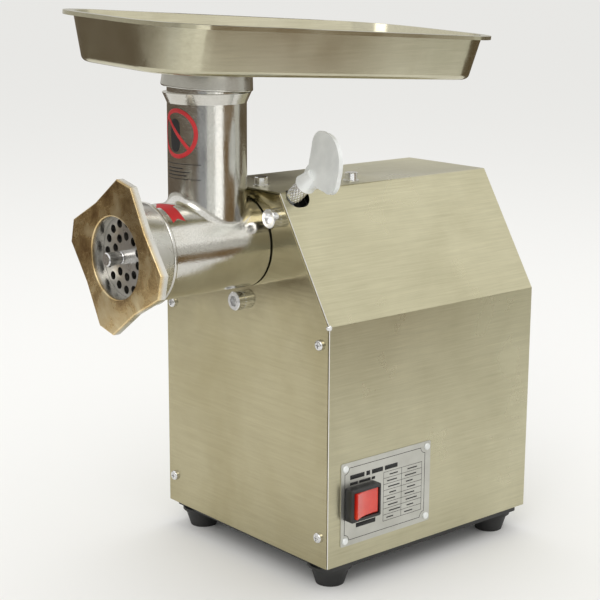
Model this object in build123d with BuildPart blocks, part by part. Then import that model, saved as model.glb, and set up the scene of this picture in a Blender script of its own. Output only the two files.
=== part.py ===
from build123d import *
import os
from math import acos, cos, pi, radians, sin, sqrt, tan

os.makedirs("parts", exist_ok=True)

# An electric meat grinder. Origin: on the floor, in the middle of the housing. +Z is up, and the
# head points to -Y. All sizes are in millimetres.

# ---------------------------------------------------------------- driving dimensions: housing
housing_width = 210.0
housing_length = 228.0
housing_height = 289.4  # folded sheet only, without base and feet
side_height = 194.1  # from the sheet's lower edge to the fold
top_width = 92.3
sheet = 1.2
bend = 1.6  # outer radius of the folds
base_depth = 5.0
base_sheet = 1.5
base_inset = 3.0
foot_height = 17.0
foot_top_radius = 18.0
foot_bottom_radius = 11.5
foot_inset = 21.0
flange_width = 16.0  # inward strips that take the panel screws
panel_screw_inset = 10.0
panel_screw_low = 24.0
panel_screw_high = 179.0

# ---------------------------------------------------------------- driving dimensions: head
axis_height = 246.3  # barrel axis above the sheet's lower edge
plate_radius = 34.8
plate_thickness = 8.0
plate_hole_radius = 3.25
mouth_radius = plate_radius + 2.9
bore_radius = plate_radius - 4.2
barrel_radius = bore_radius + 6.2
feed_radius = 30.6
feed_bore_radius = feed_radius - 3.3
feed_offset = feed_radius + 4.3  # feed tube axis in front of the front panel
feed_height = 379.0  # tube top above the sheet's lower edge
spigot_radius = barrel_radius - 3.8
spigot_length = 38.0
nut_face = 122.1  # ring nut's front face, in front of the front panel
nut_opening_radius = plate_radius - 3.6
nut_lip = 10.9
nut_back = 96.0
lobe_radius = 60.0
lobe_width = 18.5
lobe_thickness = 6.5
waist_radius = 46.0
lobe_turn = -13.0

# ---------------------------------------------------------------- driving dimensions: tray
tray_length = 356.0
tray_width = 166.0
tray_depth = 36.8
tray_draft = 8.5
tray_rim = 7.4
tray_lip = 3.0
tray_corner = 52.0
tray_sheet = 1.2
tray_shift = 76.0  # tray centre behind the feed tube's axis
tray_pitch = 3.2  # the loose collar lets the back end hang
tray_roll = 2.4
collar_radius = feed_radius + 3.6
collar_height = 14.5

# ---------------------------------------------------------------- driving dimensions: drive
output_module = 2.0
output_teeth = 34
output_pinion_teeth = 13
first_module = 1.5
first_teeth = 44
first_pinion_teeth = 14
backlash = 0.16
motor_radius = 59.0
stator_radius = 56.0
through_bolt_circle = 52.4
through_bolt_radius = 2.0
rotor_radius = 31.5
air_gap = 0.5

# ---------------------------------------------------------------- clearances
running = 0.05  # radial, for a shaft that turns in its hole
fit = 0.1  # between pieces that are fastened together
gap = 0.3  # between pieces that move past each other

# ---------------------------------------------------------------- places worked out from them
housing_bottom = foot_height + base_depth
front_y = -housing_length / 2
rear_y = housing_length / 2
axis_z = housing_bottom + axis_height
fold_z = housing_bottom + side_height
top_z = housing_bottom + housing_height
slope_run = (housing_width - top_width) / 2
slope_rise = housing_height - side_height
slope_size = sqrt(slope_run**2 + slope_rise**2)
slope_normal = (slope_rise / slope_size, slope_run / slope_size)
slope_distance = slope_normal[0] * housing_width / 2 + slope_normal[1] * fold_z
panel_sheet = 1.4
panel_recess = 0.2  # of the rear panel, inside the cover's end
panel_front = front_y - 1.0  # the front panel stands a little proud
panel_back = panel_front + panel_sheet


def along(offset):
    """The y of a place that lies `offset` behind the front of the housing."""
    return front_y + offset


def upright(y):
    """A plane across the housing at y: sketches read x to the right and z up, extrusions go forward."""
    return Plane(origin=(0, y, 0), x_dir=(1, 0, 0), z_dir=(0, -1, 0))


def shaft_plane(y, z):
    """A plane across a shaft at height z, with its first direction up; extrusions go backward."""
    return Plane(origin=(0, y, z), x_dir=(0, 0, 1), z_dir=(0, 1, 0))


def housing_outline(inset, bottom):
    """Corners of the housing's cross-section, moved inwards by `inset` and closed at `bottom`."""
    half = housing_width / 2 - inset
    roof = top_z - inset
    reach = slope_distance - inset
    shoulder = (reach - slope_normal[0] * half) / slope_normal[1]
    ridge = (reach - slope_normal[1] * roof) / slope_normal[0]
    return [(-half, bottom), (half, bottom), (half, shoulder), (ridge, roof), (-ridge, roof), (-half, shoulder)]


def bar(radius, start, end, z, bore=0.0):
    """A round bar or tube along Y, from start to end at height z."""
    with BuildPart() as piece:
        with BuildSketch(shaft_plane(start, z)):
            Circle(radius)
            if bore:
                Circle(bore, mode=Mode.SUBTRACT)
        extrude(amount=end - start)
    return piece.part


def save(piece, name):
    """Label a finished piece and write its file."""
    piece.part.label = name
    export_step(piece.part, "parts/" + name + ".step")


# ================================================================ housing
clamp_offset = 10.5  # clamp screw behind the housing's front
clamp_angle = 38.8  # its direction, up from +X about the barrel axis
clamp_direction = Vector(cos(radians(clamp_angle)), 0, sin(radians(clamp_angle)))
notch_width = 18.0
notch_length = 21.8
notch_shift = 5.1  # the notch's middle behind the clamp screw


def clamp_plane(reach):
    """A plane across the clamp screw, `reach` away from the barrel axis, facing outwards."""
    origin = Vector(0, along(clamp_offset), axis_z) + clamp_direction * reach
    return Plane(origin=origin, x_dir=(0, 1, 0), z_dir=clamp_direction)


switch_y = along(32.3)
switch_z = housing_bottom + 49.75
bezel_length = 31.5
bezel_height = 27.0
cutout_length = 28.5
cutout_height = 23.5
label_y = along(61.25)
label_z = housing_bottom + 49.25
label_length = 97.5
label_height = 68.5
label_sheet = 0.6
rivet_margin_y = 4.3
rivet_margin_z = 4.6
side_x = housing_width / 2
top_bolts_at = [(8.0, along(12.0)), (33.0, along(85.0))]
top_bolt_radius = 3.0
panel_screws_at = [
    (side * (housing_width / 2 - panel_screw_inset), housing_bottom + height)
    for side in (-1, 1)
    for height in (panel_screw_low, panel_screw_high)
]
panel_screw_radius = 1.9
rivets_at = [
    (label_y + side * (label_length / 2 - rivet_margin_y), label_z + level * (label_height / 2 - rivet_margin_z))
    for side in (-1, 1)
    for level in (-1, 1)
]
rivet_radius = 1.5

with BuildPart() as housing_cover:
    with BuildSketch(upright(rear_y)):
        Polygon(*housing_outline(0, housing_bottom), align=None)
    extrude(amount=housing_length)
    folds = housing_cover.edges().filter_by(Axis.Y).group_by(Axis.Z)[1:]
    fillet([edge for level in folds for edge in level], bend)
    with BuildSketch(upright(rear_y)):
        Polygon(*housing_outline(sheet, housing_bottom - 1), align=None)
    extrude(amount=housing_length, mode=Mode.SUBTRACT)
    strip_bottom = housing_bottom + flange_width
    strip_height = side_height - 2 * flange_width / 2 - strip_bottom + housing_bottom
    for strip_front in (panel_back + fit, rear_y - panel_recess - panel_sheet - fit - sheet):
        with BuildSketch(upright(strip_front + sheet)):
            for side in (-1, 1):
                with Locations((side * (housing_width / 2 - (sheet + flange_width) / 2), strip_bottom)):
                    Rectangle(sheet + flange_width, strip_height, align=(Align.CENTER, Align.MIN))
        extrude(amount=sheet)
        with BuildSketch(upright(strip_front + sheet)):
            with Locations(panel_screws_at):
                Circle(panel_screw_radius + fit)
        extrude(amount=sheet, mode=Mode.SUBTRACT)
    with BuildSketch(clamp_plane(50)):
        with Locations((notch_shift, 0)):
            SlotOverall(notch_length, notch_width)
    extrude(amount=30, mode=Mode.SUBTRACT)
    with BuildSketch(Plane.XY.offset(top_z + 1)):
        with Locations(top_bolts_at):
            Circle(top_bolt_radius + fit)
    extrude(amount=-4, mode=Mode.SUBTRACT)
    with BuildSketch(Plane.YZ.offset(side_x - 3)):
        with Locations((switch_y, switch_z)):
            Rectangle(cutout_length, cutout_height)
        with Locations(rivets_at):
            Circle(rivet_radius + fit)
    extrude(amount=6, mode=Mode.SUBTRACT)
save(housing_cover, "housing_cover")

# ---------------------------------------------------------------- front and rear panels
flange_bolt_circle = barrel_radius + 12.0
flange_bolt_radius = 4.0
flange_bolt_angles = (29.0, 149.0, -91.0)
flange_bolts_at = [
    (flange_bolt_circle * cos(radians(angle)), axis_z + flange_bolt_circle * sin(radians(angle)))
    for angle in flange_bolt_angles
]
panel_gap = 0.3

with BuildPart() as front_panel:
    with BuildSketch(upright(panel_back)):
        Polygon(*housing_outline(sheet + panel_gap, housing_bottom), align=None)
        with Locations((0, axis_z)):
            Circle(spigot_radius + 2 * gap, mode=Mode.SUBTRACT)
        with Locations(flange_bolts_at):
            Circle(flange_bolt_radius + fit, mode=Mode.SUBTRACT)
        with Locations(panel_screws_at):
            Circle(panel_screw_radius + fit, mode=Mode.SUBTRACT)
    extrude(amount=panel_sheet)
save(front_panel, "front_panel")

vent_length = 44.0
vent_width = 3.6
vent_pitch = 9.0
vent_rows = 9
vent_columns = 2
gland_radius = 8.0
gland_x = -60.0
gland_z = housing_bottom + 40.0
vent_z = housing_bottom + 150.0
rear_panel_outside = rear_y - panel_recess

with BuildPart() as rear_panel:
    with BuildSketch(upright(rear_panel_outside)):
        Polygon(*housing_outline(sheet + panel_gap, housing_bottom), align=None)
        with Locations(panel_screws_at):
            Circle(panel_screw_radius + fit, mode=Mode.SUBTRACT)
        with Locations((gland_x, gland_z)):
            Circle(gland_radius + fit, mode=Mode.SUBTRACT)
        with Locations((0, vent_z)):
            with GridLocations(vent_length + 14, vent_pitch, vent_columns, vent_rows):
                SlotOverall(vent_length, vent_width, mode=Mode.SUBTRACT)
    extrude(amount=panel_sheet)
save(rear_panel, "rear_panel")

screw_head_radius = 4.2
screw_head_height = 2.8
screw_length = 7.0


def pan_screws(face_y, forward):
    """Pan-head screws in the four corners of a panel whose outer face is at face_y."""
    with BuildPart() as screws:
        for x, z in panel_screws_at:
            with BuildSketch(Plane(origin=(x, face_y, z), x_dir=(1, 0, 0), z_dir=(0, forward, 0))):
                Circle(screw_head_radius)
            extrude(amount=screw_head_height)
            with BuildSketch(Plane(origin=(x, face_y, z), x_dir=(1, 0, 0), z_dir=(0, -forward, 0))):
                Circle(panel_screw_radius)
            extrude(amount=screw_length)
        rims = screws.edges().filter_by(GeomType.CIRCLE).group_by(Axis.Y)[0 if forward < 0 else -1]
        fillet(rims, screw_head_height * 0.6)
        cross = Plane(origin=(0, face_y + forward * screw_head_height, 0), x_dir=(1, 0, 0), z_dir=(0, forward, 0))
        with BuildSketch(cross):
            for x, z in panel_screws_at:
                with Locations((x, -forward * z)):
                    Rectangle(4.4, 1.0)
                    Rectangle(1.0, 4.4)
        extrude(amount=-1.4, mode=Mode.SUBTRACT)
    return screws


front_screws = pan_screws(panel_front, -1)
save(front_screws, "front_panel_screws")
rear_screws = pan_screws(rear_panel_outside, 1)
save(rear_screws, "rear_panel_screws")

# ---------------------------------------------------------------- base and feet
feet_at = [
    (x * (housing_width / 2 - foot_inset), y * (housing_length / 2 - foot_inset)) for x in (-1, 1) for y in (-1, 1)
]
foot_screw_radius = 2.5
foot_washer_radius = 6.0
foot_pocket = 6.0
base_wall = 15.0
support_y = along(148.0)
support_width = 90.0
support_foot = 14.0
support_screws_at = [(side * (support_width / 2 + support_foot / 2), support_y) for side in (-1, 1)]
base_width = housing_width - 2 * base_inset
base_length = housing_length - 2 * base_inset - 4

with BuildPart() as base_plate:
    with BuildSketch(Plane.XY.offset(foot_height)):
        RectangleRounded(base_width, base_length, 4)
    extrude(amount=base_wall)
    with BuildSketch(Plane.XY.offset(foot_height + base_sheet)):
        RectangleRounded(base_width - 2 * base_sheet, base_length - 2 * base_sheet, 4 - base_sheet)
    extrude(amount=base_wall, mode=Mode.SUBTRACT)
    with BuildSketch(Plane.XY.offset(foot_height)):
        with Locations(feet_at):
            Circle(foot_screw_radius + fit)
        with Locations(support_screws_at):
            Circle(2.0 + fit)
    extrude(amount=base_sheet, mode=Mode.SUBTRACT)
save(base_plate, "base_plate")

with BuildPart() as rubber_feet:
    for x, y in feet_at:
        with BuildSketch(Plane.XY.offset(foot_height)):
            with Locations((x, y)):
                Circle(foot_top_radius)
        with BuildSketch(Plane.XY.offset(foot_height - 2.5)):
            with Locations((x, y)):
                Circle(foot_top_radius)
        loft()
        with BuildSketch(Plane.XY.offset(foot_height - 2.5)):
            with Locations((x, y)):
                Circle(foot_top_radius - 2)
        with BuildSketch(Plane.XY):
            with Locations((x, y)):
                Circle(foot_bottom_radius)
        loft()
    with BuildSketch(Plane.XY):
        with Locations(feet_at):
            Circle(foot_washer_radius + 0.5)
    extrude(amount=foot_pocket, mode=Mode.SUBTRACT)
    with BuildSketch(Plane.XY):
        with Locations(feet_at):
            Circle(foot_screw_radius + fit)
    extrude(amount=foot_height, mode=Mode.SUBTRACT)
save(rubber_feet, "rubber_feet")

foot_head_height = 2.6
foot_nut_height = 4.0

with BuildPart() as foot_screws:
    with BuildSketch(Plane.XY.offset(foot_pocket)):
        with Locations(feet_at):
            Circle(foot_washer_radius - 0.5)
    extrude(amount=-foot_head_height)
    with BuildSketch(Plane.XY.offset(foot_pocket)):
        with Locations(feet_at):
            Circle(foot_screw_radius)
    extrude(amount=foot_height - foot_pocket + base_sheet + foot_nut_height + 1.5)
save(foot_screws, "foot_screws")

with BuildPart() as foot_nuts:
    with BuildSketch(Plane.XY.offset(foot_height + base_sheet + fit)):
        with Locations(feet_at):
            RegularPolygon(4.6, 6)
            Circle(foot_screw_radius + fit, mode=Mode.SUBTRACT)
    extrude(amount=foot_nut_height)
save(foot_nuts, "foot_nuts")

# ================================================================ gearbox
output_centre = output_module * (output_teeth + output_pinion_teeth) / 2
first_centre = first_module * (first_teeth + first_pinion_teeth) / 2
middle_z = axis_z - output_centre
motor_z = middle_z - first_centre

neck_radius = 40.0
neck_front = panel_back + fit
flange_thickness = 15.0
case_front = along(42.0)  # end of the neck, start of the front wall
case_floor = along(54.0)  # front wall's inner face
case_back = along(92.0)
cover_back = along(100.0)
case_wall = 3.5
output_case = 38.0  # inner radii of the gear chambers
middle_case = 36.5
motor_case = 24.0
seal_depth = 4.0

spindle_radius = 16.0
spindle_seat = 15.0
spindle_tail = 10.0
output_bearing_radius = 27.5
tail_bearing_radius = 21.0
tail_bearing_width = 8.0
middle_seat = 7.5
middle_bearing_radius = 17.5
middle_bearing_width = 9.0
pilot_radius = 26.0  # motor bell's pilot in the gearbox cover


def chamber(wall):
    """The gearbox's cross-section: three round chambers on the shafts, joined by straight sides."""
    circles = ((axis_z, output_case), (middle_z, middle_case), (motor_z, motor_case))
    for z, radius in circles:
        with Locations((0, z)):
            Circle(radius + wall)
    for (high, wide), (low, narrow) in zip(circles, circles[1:]):
        with Locations((0, (high + low) / 2)):
            Trapezoid(2 * (narrow + wall) * 0.96, high - low, 90, 90)


cover_screw_radius = 2.0
cover_lug_radius = 6.0
cover_screws_at = []
for side in (-1, 1):
    cover_screws_at.append((side * (middle_case + case_wall + 2.5), middle_z + 10))
    cover_screws_at.append((side * (output_case + case_wall + 2.0), axis_z - 4))
hanger_x, hanger_y = top_bolts_at[1]
hanger_top = top_z - sheet - gap
hanger_radius = 6.5

with BuildPart() as gearbox_case:
    with BuildSketch(upright(neck_front + flange_thickness)):
        with Locations((0, axis_z)):
            Circle(54)
        Polygon(*housing_outline(sheet + 1.0, axis_z - 70), align=None, mode=Mode.INTERSECT)
    extrude(amount=flange_thickness)
    add(bar(neck_radius, neck_front, case_front + 1, axis_z))
    with BuildSketch(upright(case_back)):
        chamber(case_wall)
        with Locations(cover_screws_at):
            Circle(cover_lug_radius)
    extrude(amount=case_back - case_front)
    with BuildSketch(Plane.XY.offset(hanger_top)):
        with Locations((hanger_x, hanger_y)):
            Circle(hanger_radius)
    extrude(amount=-35)
    with BuildSketch(upright(case_back)):
        chamber(0)
    extrude(amount=case_back - case_floor, mode=Mode.SUBTRACT)
    add(bar(spigot_radius + running, neck_front, along(spigot_length + 1), axis_z), mode=Mode.SUBTRACT)
    add(bar(output_bearing_radius + fit, case_front - 5, case_floor, axis_z), mode=Mode.SUBTRACT)
    add(bar(middle_bearing_radius + fit, case_floor - middle_bearing_width, case_floor, middle_z), mode=Mode.SUBTRACT)
    with BuildSketch(upright(neck_front + flange_thickness)):
        with Locations(flange_bolts_at):
            Circle(flange_bolt_radius + fit)
    extrude(amount=flange_thickness, mode=Mode.SUBTRACT)
    with BuildSketch(upright(case_back)):
        with Locations(cover_screws_at):
            Circle(cover_screw_radius + fit)
    extrude(amount=14, mode=Mode.SUBTRACT)
    with BuildSketch(clamp_plane(0)):
        Circle(4.0 + running)
    extrude(amount=60, mode=Mode.SUBTRACT)
    with BuildSketch(Plane.XY.offset(top_z)):
        with Locations(top_bolts_at):
            Circle(top_bolt_radius + fit)
    extrude(amount=-14, mode=Mode.SUBTRACT)
save(gearbox_case, "gearbox_case")

with BuildPart() as gearbox_cover:
    with BuildSketch(upright(cover_back)):
        chamber(case_wall)
        with Locations(cover_screws_at):
            Circle(cover_lug_radius)
        with Locations((0, motor_z)):
            Circle(motor_radius)
        with Locations((0, axis_z)):
            Circle(tail_bearing_radius + fit, mode=Mode.SUBTRACT)
        with Locations((0, middle_z)):
            Circle(middle_bearing_radius + fit, mode=Mode.SUBTRACT)
        with Locations((0, motor_z)):
            Circle(pilot_radius + fit, mode=Mode.SUBTRACT)
        with Locations(cover_screws_at):
            Circle(cover_screw_radius + fit, mode=Mode.SUBTRACT)
        with Locations((0, motor_z)):
            with PolarLocations(through_bolt_circle, 4, start_angle=45):
                Circle(through_bolt_radius + fit, mode=Mode.SUBTRACT)
    extrude(amount=cover_back - case_back - fit)
save(gearbox_cover, "gearbox_cover")

with BuildPart() as cover_screws:
    for x, z in cover_screws_at:
        with BuildSketch(Plane(origin=(x, cover_back + fit, z), x_dir=(1, 0, 0), z_dir=(0, 1, 0))):
            Circle(3.6)
            RegularPolygon(1.7, 6, mode=Mode.SUBTRACT)
        extrude(amount=3.6)
        with BuildSketch(Plane(origin=(x, cover_back + fit, z), x_dir=(1, 0, 0), z_dir=(0, -1, 0))):
            Circle(cover_screw_radius)
        extrude(amount=cover_back - case_back + 10)
save(cover_screws, "cover_screws")


def hex_bolt(width, head, radius, length, washer_radius, washer):
    """A hex bolt with its washer: the washer stands on z = 0 and the shank points down."""
    with BuildPart() as bolt:
        with BuildSketch():
            Circle(washer_radius)
        extrude(amount=washer)
        with BuildSketch(Plane.XY.offset(washer)):
            RegularPolygon(width / 2, 6, major_radius=False)
        extrude(amount=head)
        with BuildSketch():
            Circle(width / 2 + 0.25)
        extrude(amount=washer + head, mode=Mode.INTERSECT)
        chamfer(bolt.edges().group_by(Axis.Z)[-1], 0.5)
        with BuildSketch(Plane.XY.offset(0.1)):
            Circle(washer_radius)
        extrude(amount=washer - 0.1)
        with BuildSketch():
            Circle(radius)
        extrude(amount=-length)
    return bolt.part


bolt_head_radius = 7.6
bolt_head = 8.5
bolt_shank = 6.5
bolt_socket = 8.0  # across the flats
bolt_flutes = 18

with BuildPart() as flange_bolts:
    for x, z in flange_bolts_at:
        with BuildPart(mode=Mode.PRIVATE) as bolt:
            with BuildSketch():
                Circle(bolt_head_radius)
            extrude(amount=bolt_head)
            chamfer(bolt.edges().filter_by(GeomType.CIRCLE).group_by(Axis.Z)[-1], 0.6)
            with BuildSketch(Plane.XY.offset(bolt_head)):
                RegularPolygon(bolt_socket / 2, 6, major_radius=False)
            extrude(amount=-bolt_head * 0.55, mode=Mode.SUBTRACT)
            with BuildSketch(Plane.XY.offset(1.2)):
                with PolarLocations(bolt_head_radius, bolt_flutes):
                    Rectangle(0.7, 0.9)
            extrude(amount=bolt_head - 2.4, mode=Mode.SUBTRACT)
            with BuildSketch():
                Circle(flange_bolt_radius)
            extrude(amount=-bolt_shank)
        with Locations(Plane(origin=(x, panel_front, z), x_dir=(1, 0, 0), z_dir=(0, -1, 0)).location):
            add(bolt.part)
save(flange_bolts, "flange_bolts")

with BuildPart() as top_bolts:
    for x, y in top_bolts_at:
        with Locations((x, y, top_z)):
            add(hex_bolt(10.0, 6.0, top_bolt_radius, 9.0, 6.5, 1.4))
save(top_bolts, "top_bolts")


def bearing(outer, bore, start, end, z):
    """A sealed bearing: one ring with a shallow groove on each face between its races."""
    middle = (outer + bore) / 2
    width = (outer - bore) * 0.3
    with BuildPart() as ring:
        add(bar(outer, start, end, z, bore))
        add(bar(middle + width, start, start + 0.6, z, middle - width), mode=Mode.SUBTRACT)
        add(bar(middle + width, end - 0.6, end, z, middle - width), mode=Mode.SUBTRACT)
    return ring.part


with BuildPart() as output_seal:
    add(bar(output_bearing_radius, along(39.3), case_front + seal_depth - 0.2, axis_z, spindle_radius + running))
save(output_seal, "output_seal")

with BuildPart() as output_front_bearing:
    add(bearing(output_bearing_radius, spindle_seat + running, case_front + seal_depth, case_floor, axis_z))
save(output_front_bearing, "output_front_bearing")

with BuildPart() as output_tail_bearing:
    add(bearing(tail_bearing_radius, spindle_tail + running, case_back + fit, cover_back - fit, axis_z))
save(output_tail_bearing, "output_tail_bearing")

with BuildPart() as intermediate_bearings:
    inside = middle_seat + running
    add(bearing(middle_bearing_radius, inside, case_floor - middle_bearing_width + fit, case_floor, middle_z))
    add(bearing(middle_bearing_radius, inside, case_back + fit, cover_back, middle_z))
save(intermediate_bearings, "intermediate_bearings")


# ================================================================ gears
pressure_angle = radians(20)
addendum = 0.8
dedendum = 1.15


def involute_point(base, radius, start, side):
    """A point of an involute on the base circle, at `radius`, whose flank starts at angle `start`."""
    roll = acos(min(1.0, base / radius))
    angle = start + side * (tan(roll) - roll)
    return (radius * cos(angle), radius * sin(angle))


def gear_face(module, teeth, turn):
    """A spur gear's outline with involute flanks; `turn` is the angle of one tooth's middle."""
    pitch = module * teeth / 2
    base = pitch * cos(pressure_angle)
    tip = pitch + addendum * module
    root = pitch - dedendum * module
    foot = max(base, root + 0.05)
    half_tooth = pi / (2 * teeth) - backlash / (2 * pitch) + tan(pressure_angle) - pressure_angle
    with BuildSketch() as face:
        Circle(root + 0.1)
        with BuildLine() as outline:
            low_right = involute_point(base, foot, -half_tooth, 1)
            high_right = involute_point(base, tip, -half_tooth, 1)
            low_left = (low_right[0], -low_right[1])
            high_left = (high_right[0], -high_right[1])
            middle_right = involute_point(base, (foot + tip) / 2, -half_tooth, 1)
            middle_left = (middle_right[0], -middle_right[1])
            ThreePointArc(low_right, middle_right, high_right)
            ThreePointArc(high_right, (tip, 0), high_left)
            ThreePointArc(high_left, middle_left, low_left)
            heel = root - 0.5
            half_heel = abs(low_right[1])
            Polyline(low_left, (heel, half_heel), (heel, -half_heel), low_right)
        tooth = make_face(outline.edges(), mode=Mode.PRIVATE)
        with PolarLocations(0, teeth, start_angle=turn):
            add(tooth)
    return face.sketch


output_gear_front = along(55.0)
output_gear_back = along(71.0)
first_gear_front = along(76.0)
first_gear_back = along(88.0)
spindle_front = along(12.0)
gear_seat = 14.0
socket_size = 14.6
tang_size = 14.0
tang_back = along(33.0)


def gear(module, teeth, turn, front, back, z, bore):
    """A spur gear between front and back on the shaft at height z."""
    with BuildPart() as wheel:
        with BuildSketch(shaft_plane(front, z)):
            add(gear_face(module, teeth, turn))
            if bore:
                Circle(bore, mode=Mode.SUBTRACT)
        extrude(amount=back - front)
    return wheel.part


with BuildPart() as output_gear:
    half_pitch = 180 / output_teeth
    add(gear(output_module, output_teeth, 180 + half_pitch, output_gear_front, output_gear_back, axis_z, gear_seat + fit))
    for start in (output_gear_front, output_gear_back - 3):
        add(bar(29.0, start, start + 3, axis_z, 19.0), mode=Mode.SUBTRACT)
save(output_gear, "output_gear")

with BuildPart() as output_spindle:
    add(bar(spindle_radius, spindle_front, case_front + seal_depth, axis_z))
    add(bar(spindle_seat, case_front + seal_depth, case_floor + 0.6, axis_z))
    add(bar(gear_seat, case_floor + 0.6, output_gear_back + 0.5, axis_z))
    add(bar(spindle_tail, output_gear_back + 0.5, cover_back - 0.5, axis_z))
    with BuildSketch(shaft_plane(spindle_front, axis_z)):
        Rectangle(socket_size, socket_size)
    extrude(amount=tang_back - spindle_front + 1.5, mode=Mode.SUBTRACT)
save(output_spindle, "output_spindle")

middle_shoulder = 9.0

with BuildPart() as intermediate_shaft:
    pinion_front = output_gear_front - 0.3
    pinion_back = output_gear_back + 0.3
    add(bar(middle_seat, case_floor - middle_bearing_width + 1, pinion_front + 1, middle_z))
    add(gear(output_module, output_pinion_teeth, 0, pinion_front, pinion_back, middle_z, 0))
    add(bar(middle_shoulder, pinion_back - 0.5, first_gear_back + 1, middle_z))
    add(bar(middle_seat, first_gear_back, cover_back - 1, middle_z))
save(intermediate_shaft, "intermediate_shaft")

with BuildPart() as intermediate_gear:
    half_pitch = 180 / first_teeth
    add(gear(first_module, first_teeth, 180 + half_pitch, first_gear_front, first_gear_back, middle_z, middle_shoulder + fit))
    for start in (first_gear_front, first_gear_back - 2.5):
        add(bar(28.0, start, start + 2.5, middle_z, 14.0), mode=Mode.SUBTRACT)
save(intermediate_gear, "intermediate_gear")

# ================================================================ motor
motor_shaft_radius = 7.5
rotor_seat = 9.0
motor_bearing_radius = 16.0
bell_boss = 20.0
bell_plate = 5.0
bell_front = cover_back + 0.2
shell_front = along(118.0)
shell_back = along(178.0)
bell_back = along(196.0)
core_front = along(120.0)
core_back = along(176.0)
coil_length = 11.0
fan_front = along(199.0)
fan_back = along(211.0)
fan_radius = 48.0

with BuildPart() as motor_shell:
    add(bar(motor_radius, shell_front, shell_back, motor_z, stator_radius + fit))
save(motor_shell, "motor_shell")

with BuildPart() as stator_core:
    with BuildSketch(shaft_plane(core_front, motor_z)):
        Circle(stator_radius)
        Circle(rotor_radius + air_gap, mode=Mode.SUBTRACT)
        with PolarLocations(rotor_radius + 8, 24):
            SlotOverall(11, 4.5, mode=Mode.SUBTRACT)
        with PolarLocations(through_bolt_circle, 4, start_angle=45):
            Circle(through_bolt_radius + fit, mode=Mode.SUBTRACT)
    extrude(amount=core_back - core_front)
save(stator_core, "stator_core")

with BuildPart() as stator_windings:
    for start in (core_front - gap - coil_length, core_back + gap):
        add(bar(48.0, start, start + coil_length, motor_z, 34.0))
    fillet(stator_windings.edges().filter_by(GeomType.CIRCLE), 4.0)
save(stator_windings, "stator_windings")


def end_bell(plate_start, plate_end, rim_start, rim_end, boss_start, boss_end, pocket_start, pocket_end):
    """A motor end bell: plate with vents, rim over the coils, and a boss with the bearing's pocket."""
    with BuildPart() as bell:
        with BuildSketch(shaft_plane(plate_start, motor_z)):
            Circle(motor_radius)
            with PolarLocations(0, 8, start_angle=22.5):
                with Locations((36, 0)):
                    SlotOverall(18, 8, mode=Mode.SUBTRACT)
            with PolarLocations(through_bolt_circle, 4, start_angle=45):
                Circle(through_bolt_radius + fit, mode=Mode.SUBTRACT)
        extrude(amount=plate_end - plate_start)
        add(bar(motor_radius, rim_start, rim_end, motor_z, stator_radius - 0.6))
        add(bar(bell_boss, boss_start, boss_end, motor_z))
        add(bar(motor_shaft_radius + 1, min(plate_start, boss_start), max(plate_end, boss_end), motor_z),
            mode=Mode.SUBTRACT)
        add(bar(motor_bearing_radius + fit, pocket_start, pocket_end, motor_z), mode=Mode.SUBTRACT)
    return bell.part


with BuildPart() as motor_front_bell:
    front_plate_end = bell_front + bell_plate
    add(end_bell(bell_front, front_plate_end, front_plate_end, shell_front - fit,
                 bell_front, along(111.0), along(102.0), along(111.0)))
save(motor_front_bell, "motor_front_bell")

with BuildPart() as motor_rear_bell:
    rear_plate_start = bell_back - bell_plate
    add(end_bell(rear_plate_start, bell_back, shell_back + fit, rear_plate_start,
                 along(185.0), bell_back, along(185.0), along(194.0)))
save(motor_rear_bell, "motor_rear_bell")

with BuildPart() as rotor_bearings:
    inside = motor_shaft_radius + running
    add(bearing(motor_bearing_radius, inside, along(102.0) + fit, along(111.0), motor_z))
    add(bearing(motor_bearing_radius, inside, along(185.0), along(194.0) - fit, motor_z))
save(rotor_bearings, "rotor_bearings")

with BuildPart() as motor_shaft:
    add(gear(first_module, first_pinion_teeth, 0, first_gear_front - 1, first_gear_back + 1, motor_z, 0))
    add(bar(motor_shaft_radius, first_gear_back, fan_back + 1.5, motor_z))
    add(bar(rotor_seat, along(112.0), along(184.0), motor_z))
save(motor_shaft, "motor_shaft")

with BuildPart() as rotor_core:
    add(bar(rotor_radius, core_front, core_back, motor_z, rotor_seat + fit))
    add(bar(rotor_radius - 2, core_front - 4, core_front, motor_z, 20.0))
    add(bar(rotor_radius - 2, core_back, core_back + 4, motor_z, 20.0))
save(rotor_core, "rotor_core")

with BuildPart() as cooling_fan:
    add(bar(13.0, fan_front, fan_back, motor_z, motor_shaft_radius + fit))
    add(bar(fan_radius, fan_front, fan_front + 2, motor_z, 12.0))
    with BuildSketch(shaft_plane(fan_front, motor_z)):
        with PolarLocations(0, 9):
            with Locations((29.5, 0)):
                Rectangle(36, 2)
    extrude(amount=fan_back - fan_front - 1)
save(cooling_fan, "cooling_fan")

with BuildPart() as through_bolts:
    for spot in PolarLocations(through_bolt_circle, 4, start_angle=45):
        x = spot.position.X
        z = motor_z + spot.position.Y
        with BuildSketch(Plane(origin=(x, bell_back, z), x_dir=(1, 0, 0), z_dir=(0, -1, 0))):
            Circle(through_bolt_radius)
        extrude(amount=bell_back - case_back - 0.6)
        with BuildSketch(Plane(origin=(x, bell_back, z), x_dir=(1, 0, 0), z_dir=(0, 1, 0))):
            RegularPolygon(3.6, 6)
        extrude(amount=2.6)
save(through_bolts, "through_bolts")

support_sheet = 2.5
support_depth = 24.0
base_floor = foot_height + base_sheet

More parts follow.
